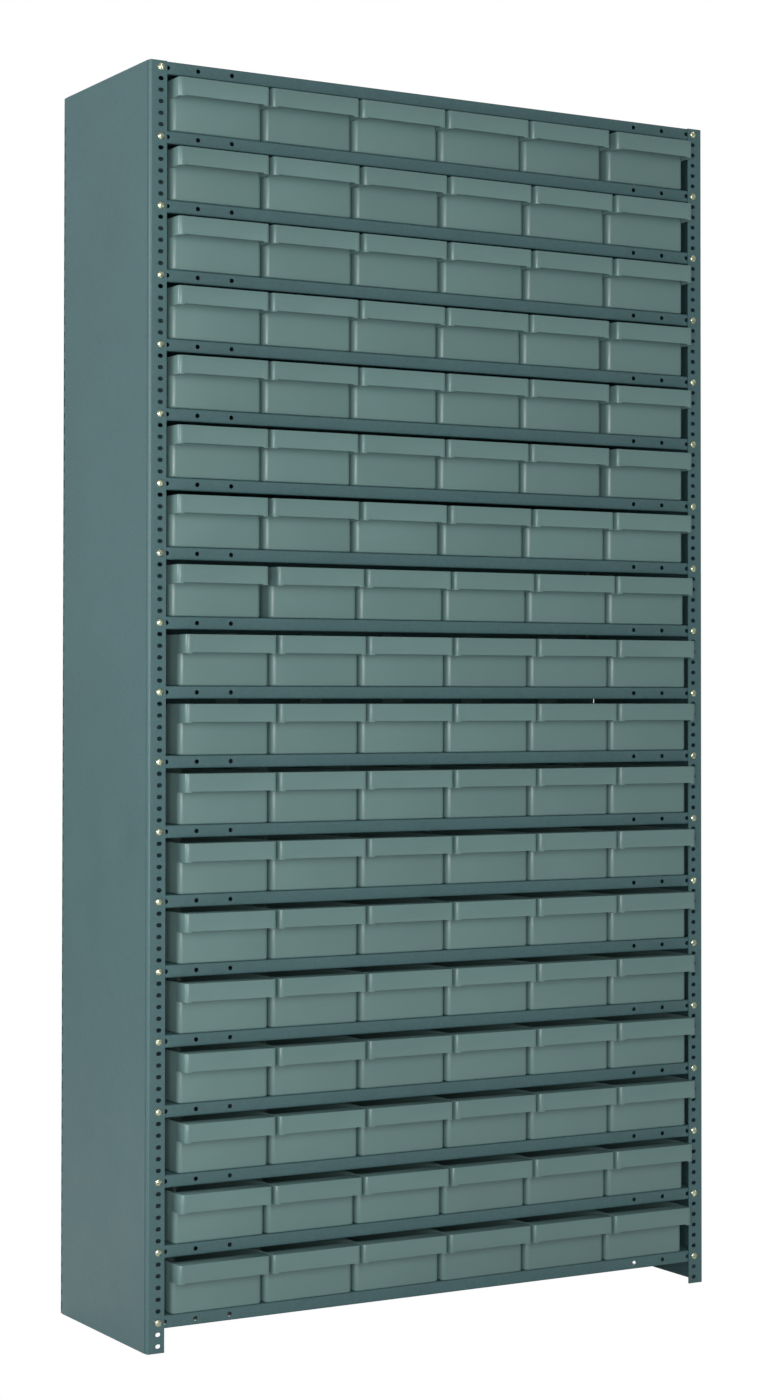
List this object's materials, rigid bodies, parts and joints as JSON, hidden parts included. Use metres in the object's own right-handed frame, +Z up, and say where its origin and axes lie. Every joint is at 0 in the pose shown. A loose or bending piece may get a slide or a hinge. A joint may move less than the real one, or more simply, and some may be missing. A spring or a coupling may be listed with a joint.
{
  "type": "closed drawer shelving unit",
  "caption": "Tall closed steel shelving unit of bolted shelves between slotted angle posts, with rows of pull-out plastic drawers with hollow grips on the shelves.",
  "frame": {"origin": "middle of the overall box, on the floor", "axes": "+Z up, -Y the front where the drawers come out, +X the right side seen from the front"},
  "size_m": [1.01, 0.3472, 1.905],
  "materials": {
    "blue_grey_steel": "blue-grey baked enamel, satin",
    "drawer_plastic": "grey-green moulded plastic, satin",
    "zinc": "bright zinc plated"
  },
  "bodies": {
    "frame": {"front_left_post": "blue_grey_steel", "front_right_post": "blue_grey_steel", "back_left_post": "blue_grey_steel", "back_right_post": "blue_grey_steel", "left_side_panel": "blue_grey_steel", "right_side_panel": "blue_grey_steel", "back_panel": "blue_grey_steel", "bottom_shelf": "blue_grey_steel", "middle_shelves": "blue_grey_steel", "top_shelf": "blue_grey_steel", "shelf_bolts": "zinc", "shelf_nuts": "zinc"},
    "drawers_tier01": {"drawers_tier01": "drawer_plastic"},
    "drawers_tier02": {"drawers_tier02": "drawer_plastic"},
    "drawers_tier03": {"drawers_tier03": "drawer_plastic"},
    "drawers_tier04": {"drawers_tier04": "drawer_plastic"},
    "drawers_tier05": {"drawers_tier05": "drawer_plastic"},
    "drawer_tier06_col1": {"drawer_tier06_col1": "drawer_plastic"},
    "drawer_tier06_col2": {"drawer_tier06_col2": "drawer_plastic"},
    "drawer_tier06_col3": {"drawer_tier06_col3": "drawer_plastic"},
    "drawer_tier06_col4": {"drawer_tier06_col4": "drawer_plastic"},
    "drawer_tier06_col5": {"drawer_tier06_col5": "drawer_plastic"},
    "drawer_tier06_col6": {"drawer_tier06_col6": "drawer_plastic"},
    "drawer_tier07_col1": {"drawer_tier07_col1": "drawer_plastic"},
    "drawer_tier07_col2": {"drawer_tier07_col2": "drawer_plastic"},
    "drawer_tier07_col3": {"drawer_tier07_col3": "drawer_plastic"},
    "drawer_tier07_col4": {"drawer_tier07_col4": "drawer_plastic"},
    "drawer_tier07_col5": {"drawer_tier07_col5": "drawer_plastic"},
    "drawer_tier07_col6": {"drawer_tier07_col6": "drawer_plastic"},
    "drawer_tier08_col1": {"drawer_tier08_col1": "drawer_plastic"},
    "drawer_tier08_col2": {"drawer_tier08_col2": "drawer_plastic"},
    "drawer_tier08_col3": {"drawer_tier08_col3": "drawer_plastic"},
    "drawer_tier08_col4": {"drawer_tier08_col4": "drawer_plastic"},
    "drawer_tier08_col5": {"drawer_tier08_col5": "drawer_plastic"},
    "drawer_tier08_col6": {"drawer_tier08_col6": "drawer_plastic"},
    "drawer_tier09_col1": {"drawer_tier09_col1": "drawer_plastic"},
    "drawer_tier09_col2": {"drawer_tier09_col2": "drawer_plastic"},
    "drawer_tier09_col3": {"drawer_tier09_col3": "drawer_plastic"},
    "drawer_tier09_col4": {"drawer_tier09_col4": "drawer_plastic"},
    "drawer_tier09_col5": {"drawer_tier09_col5": "drawer_plastic"},
    "drawer_tier09_col6": {"drawer_tier09_col6": "drawer_plastic"},
    "drawer_tier10_col1": {"drawer_tier10_col1": "drawer_plastic"},
    "drawer_tier10_col2": {"drawer_tier10_col2": "drawer_plastic"},
    "drawer_tier10_col3": {"drawer_tier10_col3": "drawer_plastic"},
    "drawer_tier10_col4": {"drawer_tier10_col4": "drawer_plastic"},
    "drawer_tier10_col5": {"drawer_tier10_col5": "drawer_plastic"},
    "drawer_tier10_col6": {"drawer_tier10_col6": "drawer_plastic"},
    "drawer_tier11_col1": {"drawer_tier11_col1": "drawer_plastic"},
    "drawer_tier11_col2": {"drawer_tier11_col2": "drawer_plastic"},
    "drawer_tier11_col3": {"drawer_tier11_col3": "drawer_plastic"},
    "drawer_tier11_col4": {"drawer_tier11_col4": "drawer_plastic"},
    "drawer_tier11_col5": {"drawer_tier11_col5": "drawer_plastic"},
    "drawer_tier11_col6": {"drawer_tier11_col6": "drawer_plastic"},
    "drawers_tier12": {"drawers_tier12": "drawer_plastic"},
    "drawers_tier13": {"drawers_tier13": "drawer_plastic"},
    "drawers_tier14": {"drawers_tier14": "drawer_plastic"},
    "drawers_tier15": {"drawers_tier15": "drawer_plastic"},
    "drawers_tier16": {"drawers_tier16": "drawer_plastic"},
    "drawers_tier17": {"drawers_tier17": "drawer_plastic"},
    "drawers_tier18": {"drawers_tier18": "drawer_plastic"}
  },
  "joints": [
    {"name": "drawers_tier01_slide", "type": "slide", "parent": "frame", "child": "drawers_tier01", "axis": [0, -1, 0], "range_m": [0, 0.287]},
    {"name": "drawers_tier02_slide", "type": "slide", "parent": "frame", "child": "drawers_tier02", "axis": [0, -1, 0], "range_m": [0, 0.287]},
    {"name": "drawers_tier03_slide", "type": "slide", "parent": "frame", "child": "drawers_tier03", "axis": [0, -1, 0], "range_m": [0, 0.287]},
    {"name": "drawers_tier04_slide", "type": "slide", "parent": "frame", "child": "drawers_tier04", "axis": [0, -1, 0], "range_m": [0, 0.287]},
    {"name": "drawers_tier05_slide", "type": "slide", "parent": "frame", "child": "drawers_tier05", "axis": [0, -1, 0], "range_m": [0, 0.287]},
    {"name": "drawer_tier06_col1_slide", "type": "slide", "parent": "frame", "child": "drawer_tier06_col1", "axis": [0, -1, 0], "range_m": [0, 0.287]},
    {"name": "drawer_tier06_col2_slide", "type": "slide", "parent": "frame", "child": "drawer_tier06_col2", "axis": [0, -1, 0], "range_m": [0, 0.287]},
    {"name": "drawer_tier06_col3_slide", "type": "slide", "parent": "frame", "child": "drawer_tier06_col3", "axis": [0, -1, 0], "range_m": [0, 0.287]},
    {"name": "drawer_tier06_col4_slide", "type": "slide", "parent": "frame", "child": "drawer_tier06_col4", "axis": [0, -1, 0], "range_m": [0, 0.287]},
    {"name": "drawer_tier06_col5_slide", "type": "slide", "parent": "frame", "child": "drawer_tier06_col5", "axis": [0, -1, 0], "range_m": [0, 0.287]},
    {"name": "drawer_tier06_col6_slide", "type": "slide", "parent": "frame", "child": "drawer_tier06_col6", "axis": [0, -1, 0], "range_m": [0, 0.287]},
    {"name": "drawer_tier07_col1_slide", "type": "slide", "parent": "frame", "child": "drawer_tier07_col1", "axis": [0, -1, 0], "range_m": [0, 0.287]},
    {"name": "drawer_tier07_col2_slide", "type": "slide", "parent": "frame", "child": "drawer_tier07_col2", "axis": [0, -1, 0], "range_m": [0, 0.287]},
    {"name": "drawer_tier07_col3_slide", "type": "slide", "parent": "frame", "child": "drawer_tier07_col3", "axis": [0, -1, 0], "range_m": [0, 0.287]},
    {"name": "drawer_tier07_col4_slide", "type": "slide", "parent": "frame", "child": "drawer_tier07_col4", "axis": [0, -1, 0], "range_m": [0, 0.287]},
    {"name": "drawer_tier07_col5_slide", "type": "slide", "parent": "frame", "child": "drawer_tier07_col5", "axis": [0, -1, 0], "range_m": [0, 0.287]},
    {"name": "drawer_tier07_col6_slide", "type": "slide", "parent": "frame", "child": "drawer_tier07_col6", "axis": [0, -1, 0], "range_m": [0, 0.287]},
    {"name": "drawer_tier08_col1_slide", "type": "slide", "parent": "frame", "child": "drawer_tier08_col1", "axis": [0, -1, 0], "range_m": [0, 0.287]},
    {"name": "drawer_tier08_col2_slide", "type": "slide", "parent": "frame", "child": "drawer_tier08_col2", "axis": [0, -1, 0], "range_m": [0, 0.287]},
    {"name": "drawer_tier08_col3_slide", "type": "slide", "parent": "frame", "child": "drawer_tier08_col3", "axis": [0, -1, 0], "range_m": [0, 0.287]},
    {"name": "drawer_tier08_col4_slide", "type": "slide", "parent": "frame", "child": "drawer_tier08_col4", "axis": [0, -1, 0], "range_m": [0, 0.287]},
    {"name": "drawer_tier08_col5_slide", "type": "slide", "parent": "frame", "child": "drawer_tier08_col5", "axis": [0, -1, 0], "range_m": [0, 0.287]},
    {"name": "drawer_tier08_col6_slide", "type": "slide", "parent": "frame", "child": "drawer_tier08_col6", "axis": [0, -1, 0], "range_m": [0, 0.287]},
    {"name": "drawer_tier09_col1_slide", "type": "slide", "parent": "frame", "child": "drawer_tier09_col1", "axis": [0, -1, 0], "range_m": [0, 0.287]},
    {"name": "drawer_tier09_col2_slide", "type": "slide", "parent": "frame", "child": "drawer_tier09_col2", "axis": [0, -1, 0], "range_m": [0, 0.287]},
    {"name": "drawer_tier09_col3_slide", "type": "slide", "parent": "frame", "child": "drawer_tier09_col3", "axis": [0, -1, 0], "range_m": [0, 0.287]},
    {"name": "drawer_tier09_col4_slide", "type": "slide", "parent": "frame", "child": "drawer_tier09_col4", "axis": [0, -1, 0], "range_m": [0, 0.287]},
    {"name": "drawer_tier09_col5_slide", "type": "slide", "parent": "frame", "child": "drawer_tier09_col5", "axis": [0, -1, 0], "range_m": [0, 0.287]},
    {"name": "drawer_tier09_col6_slide", "type": "slide", "parent": "frame", "child": "drawer_tier09_col6", "axis": [0, -1, 0], "range_m": [0, 0.287]},
    {"name": "drawer_tier10_col1_slide", "type": "slide", "parent": "frame", "child": "drawer_tier10_col1", "axis": [0, -1, 0], "range_m": [0, 0.287]},
    {"name": "drawer_tier10_col2_slide", "type": "slide", "parent": "frame", "child": "drawer_tier10_col2", "axis": [0, -1, 0], "range_m": [0, 0.287]},
    {"name": "drawer_tier10_col3_slide", "type": "slide", "parent": "frame", "child": "drawer_tier10_col3", "axis": [0, -1, 0], "range_m": [0, 0.287]},
    {"name": "drawer_tier10_col4_slide", "type": "slide", "parent": "frame", "child": "drawer_tier10_col4", "axis": [0, -1, 0], "range_m": [0, 0.287]},
    {"name": "drawer_tier10_col5_slide", "type": "slide", "parent": "frame", "child": "drawer_tier10_col5", "axis": [0, -1, 0], "range_m": [0, 0.287]},
    {"name": "drawer_tier10_col6_slide", "type": "slide", "parent": "frame", "child": "drawer_tier10_col6", "axis": [0, -1, 0], "range_m": [0, 0.287]},
    {"name": "drawer_tier11_col1_slide", "type": "slide", "parent": "frame", "child": "drawer_tier11_col1", "axis": [0, -1, 0], "range_m": [0, 0.287]},
    {"name": "drawer_tier11_col2_slide", "type": "slide", "parent": "frame", "child": "drawer_tier11_col2", "axis": [0, -1, 0], "range_m": [0, 0.287]},
    {"name": "drawer_tier11_col3_slide", "type": "slide", "parent": "frame", "child": "drawer_tier11_col3", "axis": [0, -1, 0], "range_m": [0, 0.287]},
    {"name": "drawer_tier11_col4_slide", "type": "slide", "parent": "frame", "child": "drawer_tier11_col4", "axis": [0, -1, 0], "range_m": [0, 0.287]},
    {"name": "drawer_tier11_col5_slide", "type": "slide", "parent": "frame", "child": "drawer_tier11_col5", "axis": [0, -1, 0], "range_m": [0, 0.287]},
    {"name": "drawer_tier11_col6_slide", "type": "slide", "parent": "frame", "child": "drawer_tier11_col6", "axis": [0, -1, 0], "range_m": [0, 0.287]},
    {"name": "drawers_tier12_slide", "type": "slide", "parent": "frame", "child": "drawers_tier12", "axis": [0, -1, 0], "range_m": [0, 0.287]},
    {"name": "drawers_tier13_slide", "type": "slide", "parent": "frame", "child": "drawers_tier13", "axis": [0, -1, 0], "range_m": [0, 0.287]},
    {"name": "drawers_tier14_slide", "type": "slide", "parent": "frame", "child": "drawers_tier14", "axis": [0, -1, 0], "range_m": [0, 0.287]},
    {"name": "drawers_tier15_slide", "type": "slide", "parent": "frame", "child": "drawers_tier15", "axis": [0, -1, 0], "range_m": [0, 0.287]},
    {"name": "drawers_tier16_slide", "type": "slide", "parent": "frame", "child": "drawers_tier16", "axis": [0, -1, 0], "range_m": [0, 0.287]},
    {"name": "drawers_tier17_slide", "type": "slide", "parent": "frame", "child": "drawers_tier17", "axis": [0, -1, 0], "range_m": [0, 0.287]},
    {"name": "drawers_tier18_slide", "type": "slide", "parent": "frame", "child": "drawers_tier18", "axis": [0, -1, 0], "range_m": [0, 0.287]}
  ]
}
